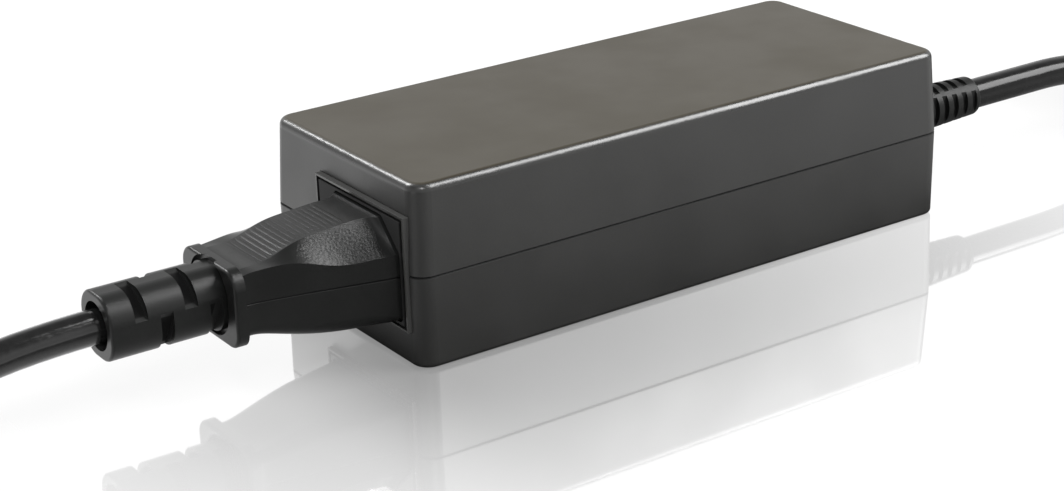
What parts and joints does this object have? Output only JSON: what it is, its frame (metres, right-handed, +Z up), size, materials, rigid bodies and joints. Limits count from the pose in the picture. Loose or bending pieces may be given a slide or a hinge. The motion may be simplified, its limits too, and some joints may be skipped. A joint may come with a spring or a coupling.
{
  "type": "laptop power adapter",
  "caption": "Box-shaped mains adapter with an inlet, a plug-in mains lead with a ribbed connector grip, and a fixed low-voltage output cord with a barrel plug.",
  "frame": {"origin": "centre of the case's underside", "axes": "X along the case, from the mains inlet at -X to the output cord at +X; +Z up, out of the top cover"},
  "size_m": [0.4875, 0.0472, 0.0413],
  "materials": {
    "case_plastic": "fine grained, charcoal",
    "inlet_plastic": "satin black",
    "nickel": "nickel plated",
    "connector_pvc": "soft, grey-black",
    "cord_pvc": "glossy black",
    "band": "satin black",
    "jack_insulator": "yellow",
    "board": "green epoxy laminate",
    "film": "matte film",
    "spreader": "bare sheet",
    "pad": "soft silicone",
    "wire_jacket": "satin",
    "fuse_body": "ceramic-like",
    "disc_green": "dipped",
    "disc_blue": "dipped",
    "film_box": "moulded box",
    "ferrite": "sintered, dark grey",
    "enamel": "enamelled copper",
    "epoxy": "moulded black",
    "can_sleeve": "shrunk sleeve",
    "bobbin": "moulded",
    "tape": "polyester tape",
    "screws": "zinc plated"
  },
  "bodies": {
    "adapter": {"ac_inlet_earth_pin": "nickel", "ac_inlet_housing": "inlet_plastic", "ac_inlet_pins": "nickel", "bottom_cover": "case_plastic", "bottom_heat_spreader": "spreader", "bridge_rectifier": "epoxy", "bulk_capacitor": "can_sleeve", "common_mode_core": "ferrite", "common_mode_winding": "enamel", "controller_chip": "epoxy", "dc_cord": "cord_pvc", "dc_cord_hank": "cord_pvc", "dc_cord_tail": "cord_pvc", "dc_cord_tie": "band", "dc_plug_barrel": "nickel", "dc_plug_centre": "nickel", "dc_plug_grip": "connector_pvc", "dc_plug_insulator": "jack_insulator", "dc_strain_relief": "connector_pvc", "fuse": "fuse_body", "fuse_clips": "nickel", "heatsink_screws": "screws", "inlet_wires": "wire_jacket", "inrush_thermistor": "disc_green", "insulating_sheet": "film", "main_board": "board", "optocoupler": "epoxy", "output_capacitors": "can_sleeve", "output_choke": "ferrite", "output_choke_winding": "enamel", "output_wires": "wire_jacket", "primary_heatsink": "spreader", "rectifier_diode": "epoxy", "secondary_heatsink": "spreader", "surge_varistor": "disc_blue", "switching_transistor": "epoxy", "thermal_pad": "pad", "top_cover": "case_plastic", "top_heat_spreader": "spreader", "transformer_bobbin": "bobbin", "transformer_core": "ferrite", "transformer_winding": "tape", "x_capacitor": "film_box", "y_capacitor": "disc_blue"},
    "ac_lead": {"ac_cord": "cord_pvc", "ac_cord_hank": "cord_pvc", "ac_cord_tail": "cord_pvc", "ac_cord_tie": "band", "connector_body": "connector_pvc", "connector_contacts": "nickel", "connector_insert": "inlet_plastic", "mains_plug_blades": "nickel", "mains_plug_body": "connector_pvc", "mains_plug_earth_pin": "nickel"}
  },
  "joints": [
    {"name": "connector_pull", "type": "slide", "parent": "adapter", "child": "ac_lead", "axis": [-1, 0, 0], "range_m": [0, 0.025]}
  ]
}
